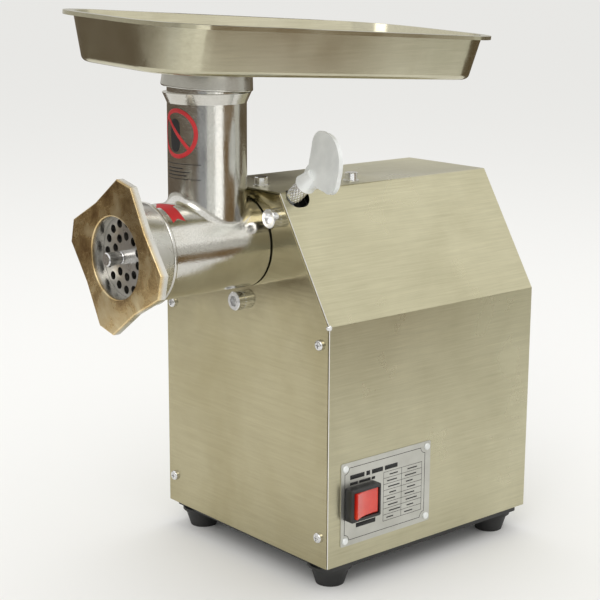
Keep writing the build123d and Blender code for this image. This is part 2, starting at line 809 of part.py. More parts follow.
with BuildPart() as motor_support:
    with BuildSketch(upright(support_y + support_depth / 2)):
        with Locations((0, motor_z)):
            Circle(motor_radius + fit + support_sheet)
        with Locations((0, motor_z + 62)):
            Rectangle(200, 200, mode=Mode.SUBTRACT)
        for side in (-1, 1):
            with Locations((side * (support_width / 2 - support_sheet / 2), base_floor)):
                Rectangle(support_sheet, motor_z - 38 - base_floor, align=(Align.CENTER, Align.MIN))
            with Locations((side * (support_width / 2 + support_foot / 2 - 1), base_floor)):
                Rectangle(support_foot + 2, support_sheet, align=(Align.CENTER, Align.MIN))
        with Locations((0, motor_z)):
            Circle(motor_radius + fit, mode=Mode.SUBTRACT)
    extrude(amount=support_depth)
    with BuildSketch(Plane.XY.offset(base_floor)):
        with Locations(support_screws_at):
            Circle(2.0 + fit)
    extrude(amount=support_sheet, mode=Mode.SUBTRACT)
save(motor_support, "motor_support")

with BuildPart() as support_screws:
    with BuildSketch(Plane.XY.offset(foot_height + 0.1)):
        with Locations(support_screws_at):
            Circle(2.0)
    extrude(amount=base_floor + support_sheet - foot_height)
    with BuildSketch(Plane.XY.offset(base_floor + support_sheet)):
        with Locations(support_screws_at):
            Circle(3.6)
            RegularPolygon(1.7, 6, mode=Mode.SUBTRACT)
    extrude(amount=3.0)
save(support_screws, "support_screws")

# ================================================================ electrical pieces
capacitor_radius = 19.0
capacitor_length = 72.0
capacitor_x = -72.0
capacitor_z = base_floor + capacitor_radius + 2.0
capacitor_front = along(60.0)
clamp_band = 12.0

with BuildPart() as run_capacitor:
    add(bar(capacitor_radius, capacitor_front, capacitor_front + capacitor_length, capacitor_z))
    fillet(run_capacitor.edges().filter_by(GeomType.CIRCLE), 1.5)
run_capacitor.part = run_capacitor.part.moved(Location((capacitor_x, 0, 0)))
save(run_capacitor, "run_capacitor")

with BuildPart() as capacitor_clamp:
    band_back = capacitor_front + (capacitor_length + clamp_band) / 2
    with BuildSketch(upright(band_back)):
        with Locations((capacitor_x, capacitor_z)):
            Circle(capacitor_radius + fit + 1.2)
        with Locations((capacitor_x + capacitor_radius + 7, base_floor)):
            Rectangle(16, 1.2, align=(Align.CENTER, Align.MIN))
        with Locations((capacitor_x + capacitor_radius + fit + 0.6, base_floor)):
            Rectangle(1.2, capacitor_radius + 2, align=(Align.CENTER, Align.MIN))
        with Locations((capacitor_x, capacitor_z)):
            Circle(capacitor_radius + fit, mode=Mode.SUBTRACT)
    extrude(amount=clamp_band)
save(capacitor_clamp, "capacitor_clamp")

with BuildPart() as terminal_block:
    with BuildSketch(Plane.XY.offset(base_floor)):
        with Locations((50, along(192.0))):
            Rectangle(56, 20)
    extrude(amount=10)
    with BuildSketch(Plane.XY.offset(base_floor + 10)):
        with Locations((50, along(192.0))):
            Rectangle(56, 12)
    extrude(amount=8)
    with BuildSketch(Plane.XY.offset(base_floor + 18)):
        with Locations((50, along(192.0))):
            with GridLocations(11, 1, 5, 1):
                Circle(2.6)
    extrude(amount=-6, mode=Mode.SUBTRACT)
save(terminal_block, "terminal_block")

bezel_back = side_x + label_sheet + fit
bezel_proud = 8.5
rocker_length = 26.0
rocker_height = 21.0
rocker_y = switch_y
rocker_z = switch_z
rocker_tilt = 9.0
rocker_pivot_x = bezel_back + 4.6
window_length = rocker_length + 0.8
window_height = rocker_height + 2 * gap
rocker_pin = 1.2
switch_depth = 24.0

with BuildPart() as switch_body:
    with BuildSketch(Plane.YZ.offset(bezel_back)):
        with Locations((switch_y, switch_z)):
            RectangleRounded(bezel_length, bezel_height, 1.5)
    extrude(amount=bezel_proud)
    chamfer(switch_body.faces().sort_by(Axis.X)[-1].edges(), 1.0)
    with BuildSketch(Plane.YZ.offset(bezel_back)):
        with Locations((switch_y, switch_z)):
            Rectangle(cutout_length - 2 * gap, cutout_height - 2 * gap)
    extrude(amount=-switch_depth)
    with BuildSketch(Plane.YZ.offset(bezel_back + bezel_proud)):
        with Locations((rocker_y, rocker_z)):
            Rectangle(window_length, window_height)
    extrude(amount=-bezel_proud - 6, mode=Mode.SUBTRACT)
    with BuildSketch(Plane.XY.offset(rocker_z)):
        with Locations((rocker_pivot_x, rocker_y)):
            Circle(rocker_pin + running)
    extrude(amount=rocker_height / 2 + 1.4, both=True, mode=Mode.SUBTRACT)
    with BuildSketch(Plane.YZ.offset(bezel_back - switch_depth)):
        with Locations((switch_y, switch_z)):
            with GridLocations(9, 10, 3, 2):
                Rectangle(6.3, 0.8)
    extrude(amount=-8)
save(switch_body, "switch_body")

with BuildPart() as rocker:
    pivot = Plane(origin=(rocker_pivot_x, rocker_y, rocker_z), x_dir=(0, 1, 0), z_dir=(0, 0, 1))
    pivot = pivot.rotated((0, 0, rocker_tilt))
    with BuildSketch(pivot):
        with BuildLine():
            ends = rocker_length / 2 - 0.6
            ThreePointArc((-ends, -4.4), (0, -2.6), (ends, -4.4))
            Polyline((ends, -4.4), (ends, 0), (7, 7), (-7, 7), (-ends, 0), (-ends, -4.4))
        make_face()
    extrude(amount=rocker_height / 2, both=True)
    crown = rocker.edges().filter_by(GeomType.CIRCLE)
    fillet(crown, 0.8)
    with BuildSketch(Plane.XY.offset(rocker_z)):
        with Locations((rocker_pivot_x, rocker_y)):
            Circle(rocker_pin)
    extrude(amount=rocker_height / 2 + 1.1, both=True)
save(rocker, "rocker")

with BuildPart() as label_plate:
    with BuildSketch(Plane.YZ.offset(side_x + 0.02)):
        with Locations((label_y, label_z)):
            RectangleRounded(label_length, label_height, 1.5)
        with Locations((switch_y, switch_z)):
            Rectangle(cutout_length + 0.4, cutout_height + 0.4, mode=Mode.SUBTRACT)
        with Locations(rivets_at):
            Circle(rivet_radius + fit, mode=Mode.SUBTRACT)
    extrude(amount=label_sheet)
save(label_plate, "label_plate")

with BuildPart() as label_rivets:
    for y, z in rivets_at:
        with BuildSketch(Plane(origin=(side_x + label_sheet + 0.03, y, z), x_dir=(0, 1, 0), z_dir=(1, 0, 0))):
            Circle(2.9)
        extrude(amount=1.5)
    fillet(label_rivets.edges().group_by(Axis.X)[-1], 1.2)
    with BuildSketch(Plane.YZ.offset(side_x + label_sheet + 0.05)):
        with Locations(rivets_at):
            Circle(rivet_radius)
    extrude(amount=-label_sheet - sheet - 1.5)
save(label_rivets, "label_rivets")

gland_bore = 3.6
gland_dome = 16.0

with BuildPart() as cord_gland:
    with BuildSketch(Plane(origin=(gland_x, rear_panel_outside, gland_z), x_dir=(1, 0, 0), z_dir=(0, 1, 0))):
        RegularPolygon(12.0, 6)
    extrude(amount=5)
    with BuildSketch(Plane(origin=(gland_x, rear_panel_outside + 5, gland_z), x_dir=(1, 0, 0), z_dir=(0, 1, 0))):
        Circle(9.5)
    extrude(amount=gland_dome - 5, taper=12)
    with BuildSketch(Plane(origin=(gland_x, rear_panel_outside, gland_z), x_dir=(1, 0, 0), z_dir=(0, -1, 0))):
        Circle(gland_radius)
    extrude(amount=12)
    with BuildSketch(Plane(origin=(gland_x, rear_panel_outside + gland_dome, gland_z), x_dir=(1, 0, 0),
                           z_dir=(0, -1, 0))):
        Circle(gland_bore)
    extrude(amount=gland_dome + 12, mode=Mode.SUBTRACT)
save(cord_gland, "cord_gland")

with BuildPart() as gland_nut:
    nut_face_y = rear_panel_outside - panel_sheet - fit
    with BuildSketch(Plane(origin=(gland_x, nut_face_y, gland_z), x_dir=(1, 0, 0), z_dir=(0, -1, 0))):
        RegularPolygon(12.0, 6)
        Circle(gland_radius + fit, mode=Mode.SUBTRACT)
    extrude(amount=5)
save(gland_nut, "gland_nut")

# ================================================================ head
mouth_front = along(-109.5)
mouth_depth = 14.5
recess_back = mouth_front + mouth_depth
head_back = along(-2.2)
wall_front = along(-8.0)
wall_back = along(4.0)
spigot_back = along(spigot_length)
spigot_bore = spigot_radius - 6.0
bush_radius = 14.0
journal_radius = 11.0
feed_y = along(-feed_offset)
feed_top = housing_bottom + feed_height
shoulder_top = feed_top - 13.5
shoulder_height = 8.0
shoulder_radius = feed_radius + 3.6
plate_front = along(-111.0)
plate_back = plate_front + plate_thickness
key_radius = 1.8
key_y = plate_front + plate_thickness * 0.6
root_fillet = 8.0
relief_top = axis_z + barrel_radius + 1.5  # the feed bore is wider below this
bead_radius = 2.0
bead_y = along(-nut_back) + gap + bead_radius

with BuildPart() as head_casting:
    add(bar(barrel_radius, recess_back - 3, head_back, axis_z))
    with BuildSketch(Plane.XY.offset(axis_z)):
        with Locations((0, feed_y)):
            Circle(feed_radius)
    extrude(amount=feed_top - axis_z)
    crease = head_casting.edges().filter_by(lambda edge: edge.geom_type not in (GeomType.CIRCLE, GeomType.LINE))
    fillet(crease, root_fillet)
    add(bar(mouth_radius, mouth_front, recess_back, axis_z))
    with BuildSketch(Plane.YZ):
        with Locations((bead_y, axis_z + mouth_radius)):
            Circle(bead_radius)
    revolve(axis=Axis((0, 0, axis_z), (0, 1, 0)))
    add(bar(spigot_radius, head_back - 1, spigot_back, axis_z))
    with BuildSketch(Plane.XY.offset(shoulder_top - shoulder_height)):
        with Locations((0, feed_y)):
            Circle(feed_radius)
    with BuildSketch(Plane.XY.offset(shoulder_top)):
        with Locations((0, feed_y)):
            Circle(shoulder_radius)
    loft()
    add(bar(plate_radius + gap, mouth_front, recess_back, axis_z), mode=Mode.SUBTRACT)
    add(bar(bore_radius, recess_back, wall_front, axis_z), mode=Mode.SUBTRACT)
    add(bar(bush_radius + fit, wall_front, wall_back, axis_z), mode=Mode.SUBTRACT)
    add(bar(spigot_bore, wall_back, spigot_back, axis_z), mode=Mode.SUBTRACT)
    with BuildSketch(Plane.XY.offset(axis_z)):
        with Locations((0, feed_y)):
            Circle(feed_bore_radius)
    extrude(amount=feed_top - axis_z, mode=Mode.SUBTRACT)
    with BuildSketch(Plane.XY.offset(axis_z)):
        with Locations((0, feed_y)):
            Circle(feed_bore_radius + 1.0)
    extrude(amount=relief_top - axis_z, mode=Mode.SUBTRACT)
    with BuildSketch(Plane.XY.offset(axis_z + mouth_radius)):
        with Locations((0, key_y)):
            Circle(key_radius + fit)
    extrude(amount=-6, mode=Mode.SUBTRACT)
save(head_casting, "head_casting")

with BuildPart() as head_seal:
    add(bar(barrel_radius - 0.6, head_back + 0.05, panel_front - gap, axis_z, spigot_radius + fit))
save(head_seal, "head_seal")

with BuildPart() as auger_bush:
    add(bar(bush_radius, wall_front, wall_back, axis_z, journal_radius + running))
save(auger_bush, "auger_bush")

with BuildPart() as plate_key:
    with BuildSketch(Plane.XY.offset(axis_z + mouth_radius - 0.4)):
        with Locations((0, key_y)):
            Circle(key_radius)
    extrude(amount=-5)
save(plate_key, "plate_key")

pin_radius = 5.25
pin_front = along(-129.5)
knife_back = recess_back - 0.8
knife_front = plate_back + gap
flight_radius = 30.0
flight_front = recess_back + 0.6
flight_back = along(-11.0)
core_radius = 11.5
flight_thickness = 5.0
flight_pitch = 30.0
journal_back = along(10.5)
knife_square = 12.0

with BuildPart() as auger:
    add(bar(core_radius, knife_back, wall_front - 1.8, axis_z))
    add(bar(journal_radius, wall_front - 2, journal_back, axis_z))
    with BuildSketch(shaft_plane(journal_back, axis_z)):
        Rectangle(tang_size, tang_size)
    extrude(amount=tang_back - journal_back)
    with BuildSketch(shaft_plane(knife_front - 0.1, axis_z)):
        Rectangle(knife_square, knife_square)
    extrude(amount=knife_back - knife_front + 0.2)
    add(bar(pin_radius, pin_front, knife_front, axis_z))
    add(bar(pin_radius + 1, along(-118.5), along(-117.0), axis_z, pin_radius - 0.6), mode=Mode.SUBTRACT)
    chamfer(auger.edges().filter_by(GeomType.CIRCLE).sort_by(Axis.Y)[0], 0.8)

flight_length = flight_back - flight_front - flight_thickness
screw_start = shaft_plane(flight_front + flight_thickness / 2, axis_z)
with BuildPart() as flight:
    with BuildLine():
        path = Helix(flight_pitch, flight_length, (core_radius + flight_radius) / 2)
    with BuildSketch(Plane(origin=path @ 0, x_dir=(1, 0, 0), z_dir=path % 0)):
        Rectangle(flight_radius - core_radius + 3, flight_thickness)
    sweep(is_frenet=True)
with BuildPart() as auger_screw:
    with Locations(screw_start.location):
        add(flight.part)
    add(bar(flight_radius, flight_front, flight_back, axis_z), mode=Mode.INTERSECT)
    add(auger.part)
save(auger_screw, "auger")

with BuildPart() as thrust_washer:
    add(bar(22.0, wall_front - 1.7, wall_front - 0.2, axis_z, journal_radius + fit))
save(thrust_washer, "thrust_washer")

with BuildPart() as knife:
    with BuildSketch(shaft_plane(knife_front, axis_z)):
        Circle(12.5)
        with PolarLocations(0, 4):
            with Locations((21, 0)):
                Trapezoid(13, 24, 97, 90, rotation=-90)
        Rectangle(knife_square + 0.3, knife_square + 0.3, mode=Mode.SUBTRACT)
        Circle(plate_radius - 1.8, mode=Mode.INTERSECT)
    extrude(amount=knife_back - knife_front)
save(knife, "knife")

outer_holes = 16
outer_hole_circle = 25.5
inner_holes = 10
inner_hole_circle = 15.5

with BuildPart() as perforated_plate:
    with BuildSketch(shaft_plane(plate_front, axis_z)):
        Circle(plate_radius)
        with PolarLocations(outer_hole_circle, outer_holes, start_angle=2.7):
            Circle(plate_hole_radius, mode=Mode.SUBTRACT)
        with PolarLocations(inner_hole_circle, inner_holes):
            Circle(plate_hole_radius, mode=Mode.SUBTRACT)
        Circle(pin_radius + running, mode=Mode.SUBTRACT)
        with Locations((plate_radius, 0)):
            Rectangle(7.0, 2 * key_radius + 0.4, mode=Mode.SUBTRACT)
    extrude(amount=plate_thickness)
save(perforated_plate, "perforated_plate")

nut_front = along(-nut_face)
nut_rear = along(-nut_back)
nut_body_front = mouth_radius + 6.3
nut_body_back = mouth_radius + 1.9


def lobed_outline(reach, half_width, waist):
    """The ring nut's front: four lugs with flat ends, joined by slightly hollow sides."""
    corners = []
    for turn in range(4):
        middle = radians(90 * turn - lobe_turn)
        for side in (-1, 1):
            corners.append(
                (reach * cos(middle) - side * half_width * sin(middle),
                 reach * sin(middle) + side * half_width * cos(middle))
            )
        saddle = middle + pi / 4
        corners.append((waist * cos(saddle), waist * sin(saddle)))
    return corners


with BuildPart() as ring_nut:
    lobe_back = nut_front + lobe_thickness
    with BuildSketch(shaft_plane(nut_front, axis_z)):
        Polygon(*lobed_outline(sqrt(lobe_radius**2 - (lobe_width / 2) ** 2), lobe_width / 2, waist_radius), align=None)
    extrude(amount=lobe_thickness)
    with BuildSketch(shaft_plane(lobe_back, axis_z)):
        Circle(nut_body_front)
    with BuildSketch(shaft_plane(nut_rear, axis_z)):
        Circle(nut_body_back)
    loft()
    with BuildSketch(shaft_plane(lobe_back, axis_z)):
        with PolarLocations(0, 4, start_angle=-lobe_turn):
            with Locations((nut_body_back + 8, 0)):
                Rectangle(20, lobe_width - 2)
    with BuildSketch(shaft_plane(nut_rear - 3, axis_z)):
        with PolarLocations(0, 4, start_angle=-lobe_turn):
            with Locations((nut_body_back - 2, 0)):
                Rectangle(2, lobe_width - 4)
    fillet(ring_nut.faces().sort_by(Axis.Y)[0].edges(), 1.0)
    add(bar(mouth_radius + running, plate_front - 0.2, nut_rear, axis_z), mode=Mode.SUBTRACT)
    add(bar(nut_opening_radius, nut_front, plate_front, axis_z), mode=Mode.SUBTRACT)
    opening_edge = ring_nut.edges().filter_by(GeomType.CIRCLE).group_by(Axis.Y)[0]
    fillet(opening_edge, 1.2)
save(ring_nut, "ring_nut")

# ================================================================ tray
collar_bore = collar_radius - tray_sheet
collar_flare = 1.3  # the collar widens towards its rolled lower edge
tilt = sqrt(tan(radians(tray_pitch)) ** 2 + tan(radians(tray_roll)) ** 2)
collar_foot = shoulder_top + shoulder_radius * tilt + gap
lean_back = tan(radians(tray_pitch))
lean_side = tan(radians(tray_roll))
tray_plane = Plane(origin=(0, feed_y, collar_foot), x_dir=(1, 0, -lean_side), z_dir=(lean_side, lean_back, 1))


def tray_level(height):
    """A plane parallel to the tray's bottom, `height` above the collar's lower edge."""
    return tray_plane.offset(height)


def pan_body(inset, floor, corner_fillet):
    """The pan's drafted body, moved inwards by `inset`, from its floor to the rim."""
    with BuildPart() as body:
        for height, spread in ((floor, tray_draft), (tray_depth, 0)):
            grow = 2 * (tray_rim + spread + inset)
            with BuildSketch(tray_level(collar_height + height)):
                with Locations((0, tray_shift)):
                    RectangleRounded(tray_width - grow, tray_length - grow, tray_corner - grow / 2)
        loft()
        lowest = body.faces().sort_by(Axis(tray_plane.origin, tray_plane.z_dir))[0]
        fillet(lowest.edges(), corner_fillet)
    return body.part


with BuildPart() as tray_pan:
    add(pan_body(0, 0, 5.0))
    with BuildSketch(tray_level(collar_height + tray_depth)):
        with Locations((0, tray_shift)):
            RectangleRounded(tray_width, tray_length, tray_corner)
    extrude(amount=-tray_lip)
    with BuildSketch(tray_level(collar_height + tray_depth - tray_sheet)):
        with Locations((0, tray_shift)):
            edge = 2 * tray_sheet
            RectangleRounded(tray_width - edge, tray_length - edge, tray_corner - tray_sheet)
            keep = 2 * tray_rim - 0.2
            RectangleRounded(tray_width - keep, tray_length - keep, tray_corner - keep / 2, mode=Mode.SUBTRACT)
    extrude(amount=-tray_lip, mode=Mode.SUBTRACT)
    add(pan_body(tray_sheet, tray_sheet, 4.0), mode=Mode.SUBTRACT)
    with BuildSketch(tray_level(collar_height - 1)):
        Circle(collar_bore)
    extrude(amount=8, mode=Mode.SUBTRACT)
save(tray_pan, "tray_pan")

with BuildPart() as tray_collar:
    with BuildSketch(tray_level(0)):
        Circle(collar_radius + collar_flare)
    with BuildSketch(tray_level(collar_height)):
        Circle(collar_radius)
    loft()
    fillet(tray_collar.faces().sort_by(Axis.Z)[0].edges(), collar_flare)
    with BuildSketch(tray_level(-1)):
        Circle(collar_bore)
    extrude(amount=collar_height + 2, mode=Mode.SUBTRACT)
save(tray_collar, "tray_collar")

# ================================================================ clamp screw
screw_tip = spigot_radius + gap
thread_radius = 4.0
knurl_start = 63.5
knurl_radius = 5.8
wing_start = 81.0
wing_boss = 8.5
wing_top = 130.0
wing_half = 26.5
wing_sheet = 3.6
wing_turn = radians(-13.0)  # how the screw stands when it is tight

with BuildPart() as wing_screw:
    with BuildSketch(clamp_plane(screw_tip)):
        Circle(thread_radius)
    extrude(amount=knurl_start - screw_tip)
    with BuildSketch(clamp_plane(knurl_start)):
        Circle(knurl_radius)
    extrude(amount=wing_start - knurl_start + 2)
    with BuildSketch(clamp_plane(wing_start)):
        Circle(wing_boss)
    with BuildSketch(clamp_plane(wing_start + 13)):
        Circle(wing_boss - 3)
    loft()
    wing_origin = (0, along(clamp_offset), axis_z)
    wing_normal = Vector(0, -1, 0) * cos(wing_turn) + clamp_direction.cross(Vector(0, -1, 0)) * sin(wing_turn)
    wing_plane = Plane(origin=wing_origin, x_dir=clamp_direction, z_dir=wing_normal)
    with BuildSketch(wing_plane):
        with BuildLine():
            for side in (-1, 1):
                Line((wing_start + 12, side * 10), (wing_start + 22, side * (wing_half - 5)))
                ThreePointArc(
                    (wing_start + 22, side * (wing_half - 5)),
                    (wing_start + 29, side * wing_half),
                    (wing_top - 10, side * (wing_half - 5)),
                )
            ThreePointArc((wing_start + 12, -10), (wing_start + 1, 0), (wing_start + 12, 10))
            ThreePointArc((wing_top - 10, 5 - wing_half), (wing_top, 0), (wing_top - 10, wing_half - 5))
        make_face()
    extrude(amount=wing_sheet / 2, both=True)
save(wing_screw, "wing_screw")
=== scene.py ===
import math

import bmesh
import bpy
from mathutils import Matrix, Vector


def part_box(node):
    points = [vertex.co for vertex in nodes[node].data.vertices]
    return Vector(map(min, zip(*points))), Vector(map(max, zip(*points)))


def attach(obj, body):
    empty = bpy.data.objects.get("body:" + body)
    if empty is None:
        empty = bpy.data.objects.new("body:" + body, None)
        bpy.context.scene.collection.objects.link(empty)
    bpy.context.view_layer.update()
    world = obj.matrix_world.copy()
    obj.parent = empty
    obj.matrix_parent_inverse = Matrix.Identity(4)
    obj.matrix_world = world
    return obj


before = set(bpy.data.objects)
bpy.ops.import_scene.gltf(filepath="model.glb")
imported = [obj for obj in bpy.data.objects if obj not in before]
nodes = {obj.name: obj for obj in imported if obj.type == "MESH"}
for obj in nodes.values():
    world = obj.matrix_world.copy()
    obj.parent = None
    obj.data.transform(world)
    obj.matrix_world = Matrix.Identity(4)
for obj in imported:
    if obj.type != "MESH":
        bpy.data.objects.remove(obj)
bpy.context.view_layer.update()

scene = bpy.context.scene
MM = 0.001


# ---------------------------------------------------------------- camera

AZIMUTH = math.radians(49.541)
ELEVATION = math.radians(12.754)
ROLL = math.radians(0.302)
DISTANCE = 1.312
TARGET = Vector((-0.0473, -0.0140, 0.1967))

back = Vector((
    math.sin(AZIMUTH) * math.cos(ELEVATION),
    -math.cos(AZIMUTH) * math.cos(ELEVATION),
    math.sin(ELEVATION),
))
level_right = Vector((0, 0, 1)).cross(back).normalized()
level_up = back.cross(level_right)
right = level_right * math.cos(ROLL) + level_up * math.sin(ROLL)
up = level_up * math.cos(ROLL) - level_right * math.sin(ROLL)

camera_data = bpy.data.cameras.new("camera")
camera_data.lens = 90.4
camera_data.sensor_width = 36.0
camera_data.clip_end = 100.0
camera = bpy.data.objects.new("camera", camera_data)
scene.collection.objects.link(camera)
placing = Matrix((right, up, back)).transposed().to_4x4()
placing.translation = TARGET + back * DISTANCE
camera.matrix_world = placing
scene.camera = camera
scene.view_settings.view_transform = "Standard"


# ---------------------------------------------------------------- materials

class Tree:
    """A node tree with short calls for the nodes that the materials share."""

    def __init__(self, name):
        self.material = bpy.data.materials.new(name)
        self.material.use_nodes = True
        self.tree = self.material.node_tree
        self.bsdf = self.tree.nodes["Principled BSDF"]
        self.place = self.add("ShaderNodeTexCoord").outputs["Object"]

    def add(self, kind, **values):
        node = self.tree.nodes.new(kind)
        for key, value in values.items():
            setattr(node, key, value)
        return node

    def link(self, source, target):
        self.tree.links.new(source, target)

    def shader(self, **values):
        for key, value in values.items():
            self.bsdf.inputs[key.replace("_", " ")].default_value = value

    def stretched(self, scale):
        mapping = self.add("ShaderNodeMapping")
        mapping.inputs["Scale"].default_value = scale
        self.link(self.place, mapping.inputs["Vector"])
        return mapping.outputs["Vector"]

    def noise(self, scale, stretch=(1, 1, 1), detail=3.0, rough=0.5, distortion=0.0):
        node = self.add("ShaderNodeTexNoise")
        node.inputs["Scale"].default_value = scale
        node.inputs["Detail"].default_value = detail
        node.inputs["Roughness"].default_value = rough
        node.inputs["Distortion"].default_value = distortion
        self.link(self.stretched(stretch), node.inputs["Vector"])
        return node.outputs["Fac"]

    def remap(self, source, low, high, to_low, to_high):
        node = self.add("ShaderNodeMapRange")
        node.inputs["From Min"].default_value = low
        node.inputs["From Max"].default_value = high
        node.inputs["To Min"].default_value = to_low
        node.inputs["To Max"].default_value = to_high
        self.link(source, node.inputs["Value"])
        return node.outputs["Result"]

    def ramp(self, source, stops):
        node = self.add("ShaderNodeValToRGB")
        ramp = node.color_ramp
        while len(ramp.elements) < len(stops):
            ramp.elements.new(0.5)
        for element, (position, colour) in zip(ramp.elements, stops):
            element.position = position
            element.color = (*colour, 1)
        self.link(source, node.inputs["Fac"])
        return node.outputs["Color"]

    def mix(self, factor, first, second, blend="MIX"):
        node = self.add("ShaderNodeMix", data_type="RGBA", blend_type=blend)
        for socket, value in ((node.inputs[0], factor), (node.inputs[6], first), (node.inputs[7], second)):
            if isinstance(value, tuple):
                socket.default_value = (*value, 1)
            elif isinstance(value, (int, float)):
                socket.default_value = value
            else:
                self.link(value, socket)
        return node.outputs[2]

    def maths(self, operation, first, second=0.0):
        node = self.add("ShaderNodeMath", operation=operation)
        for socket, value in ((node.inputs[0], first), (node.inputs[1], second)):
            if isinstance(value, (int, float)):
                socket.default_value = value
            else:
                self.link(value, socket)
        return node.outputs[0]

    def colour(self, source):
        self.link(source, self.bsdf.inputs["Base Color"])

    def rough(self, source):
        self.link(source, self.bsdf.inputs["Roughness"])

    def bump(self, source, strength, distance, after=None):
        node = self.add("ShaderNodeBump")
        node.inputs["Strength"].default_value = strength
        node.inputs["Distance"].default_value = distance
        self.link(source, node.inputs["Height"])
        if after is not None:
            self.link(after, node.inputs["Normal"])
        self.link(node.outputs["Normal"], self.bsdf.inputs["Normal"])
        return node.outputs["Normal"]


def brushed_sheet(name, tint, dark, grain, rough=0.30, anisotropic=0.6, blotch=9.0):
    """Sheet with a fine level grain, which smears reflections upright, and faint handling marks."""
    t = Tree(name)
    t.shader(Metallic=1.0, Anisotropic=anisotropic, Anisotropic_Rotation=0.25)
    around = t.add("ShaderNodeTangent", direction_type="RADIAL", axis="Z")
    t.link(around.outputs["Tangent"], t.bsdf.inputs["Tangent"])
    fine = t.noise(1.0, grain, detail=2.0)
    coarse = t.noise(1.0, tuple(value * 0.35 for value in grain), detail=3.0)
    soil = t.noise(blotch, (1, 1, 0.8), detail=5.0, rough=0.6, distortion=0.4)
    shade = t.ramp(soil, [(0.32, dark), (0.60, tint)])
    streaks = t.ramp(coarse, [(0.30, (0.955, 0.955, 0.95)), (0.70, (1.03, 1.03, 1.03))])
    speck = t.ramp(fine, [(0.30, (0.94, 0.94, 0.94)), (0.70, (1.04, 1.04, 1.04))])
    t.colour(t.mix(1.0, t.mix(1.0, shade, streaks, "MULTIPLY"), speck, "MULTIPLY"))
    smudge = t.noise(blotch * 1.7, (1, 1, 1), detail=4.0, rough=0.6)
    t.rough(t.remap(smudge, 0.3, 0.7, rough - 0.05, rough + 0.08))
    first = t.bump(fine, 0.10, 0.00003)
    t.bump(coarse, 0.08, 0.00006, after=first)
    return t.material


def polished_casting(name, tint, dark, rough=0.13, peel=420.0, peel_depth=0.00022):
    """Buffed casting: an uneven skin that ripples reflections, with a fine sparkle over it."""
    t = Tree(name)
    t.shader(Metallic=1.0)
    orange_peel = t.noise(peel, detail=2.5, rough=0.6)
    sparkle = t.noise(1300.0, detail=1.0)
    cloud = t.noise(30.0, detail=4.0)
    shade = t.ramp(cloud, [(0.30, dark), (0.60, tint)])
    speck = t.ramp(sparkle, [(0.30, (0.86, 0.86, 0.86)), (0.62, (1.05, 1.05, 1.05))])
    t.colour(t.mix(1.0, shade, speck, "MULTIPLY"))
    t.rough(t.remap(cloud, 0.3, 0.7, rough - 0.04, rough + 0.08))
    first = t.bump(orange_peel, 0.30, peel_depth)
    t.bump(sparkle, 0.45, 0.00010, after=first)
    return t.material


def plain_metal(name, tint, dark, rough, scale=60.0, grain=700.0, depth=0.00006, metallic=1.0):
    """Metal with a clouded tone and fine pits."""
    t = Tree(name)
    t.shader(Metallic=metallic)
    cloud = t.noise(scale, detail=4.0)
    pits = t.noise(grain, detail=2.0)
    t.colour(t.ramp(cloud, [(0.30, dark), (0.62, tint)]))
    t.rough(t.remap(cloud, 0.3, 0.7, rough + 0.08, rough - 0.03))
    t.bump(pits, 0.3, depth)
    return t.material


def nut_painted_reflection(name, face_y):
    """Cast nut: bright sides, and a front face with a painted brown reflection that changes from lug to lug."""
    t = Tree(name)
    t.shader(Metallic=1.0)
    cloud = t.noise(38.0, detail=5.0, rough=0.65, distortion=0.6)
    wide = t.noise(14.0, detail=2.0)
    pits = t.noise(650.0, detail=2.0)
    # painted brown reflection on the nut's front face, made darker and paler by noise
    brown_reflection = t.ramp(cloud, [(0.28, (0.30, 0.19, 0.09)), (0.48, (0.62, 0.47, 0.25)), (0.68, (0.80, 0.70, 0.48))])
    drift = t.ramp(wide, [(0.35, (0.72, 0.70, 0.66)), (0.65, (1.12, 1.08, 0.98))])
    face = t.mix(1.0, brown_reflection, drift, "MULTIPLY")
    bare = t.ramp(cloud, [(0.30, (0.56, 0.55, 0.50)), (0.62, (0.68, 0.67, 0.63))])
    parts = t.add("ShaderNodeSeparateXYZ")
    t.link(t.place, parts.inputs["Vector"])
    behind = t.remap(parts.outputs["Y"], face_y + 0.0006, face_y + 0.0040, 0.0, 1.0)
    t.colour(t.mix(behind, face, bare))
    t.rough(t.remap(cloud, 0.3, 0.7, 0.20, 0.34))
    t.bump(pits, 0.35, 0.00010)
    return t.material


def moulded(name, tint, pale, rough, grain=900.0, depth=0.00008, coat=0.0):
    """Plastic, rubber, paint or ink with a fine moulded texture."""
    t = Tree(name)
    t.shader(Coat_Weight=coat, Coat_Roughness=0.06)
    cloud = t.noise(45.0, detail=4.0)
    texture = t.noise(grain, detail=2.0)
    t.colour(t.ramp(cloud, [(0.35, tint), (0.75, pale)]))
    t.rough(t.remap(cloud, 0.3, 0.7, rough, rough + 0.1))
    t.bump(texture, 0.35, depth)
    return t.material


def dress(material, *names):
    for name in names:
        for slot in nodes[name].material_slots:
            slot.material = material


ALONG_X = (35, 1400, 1400)
ALONG_Y = (1400, 35, 1400)
EVEN = (1400, 1400, 1400)

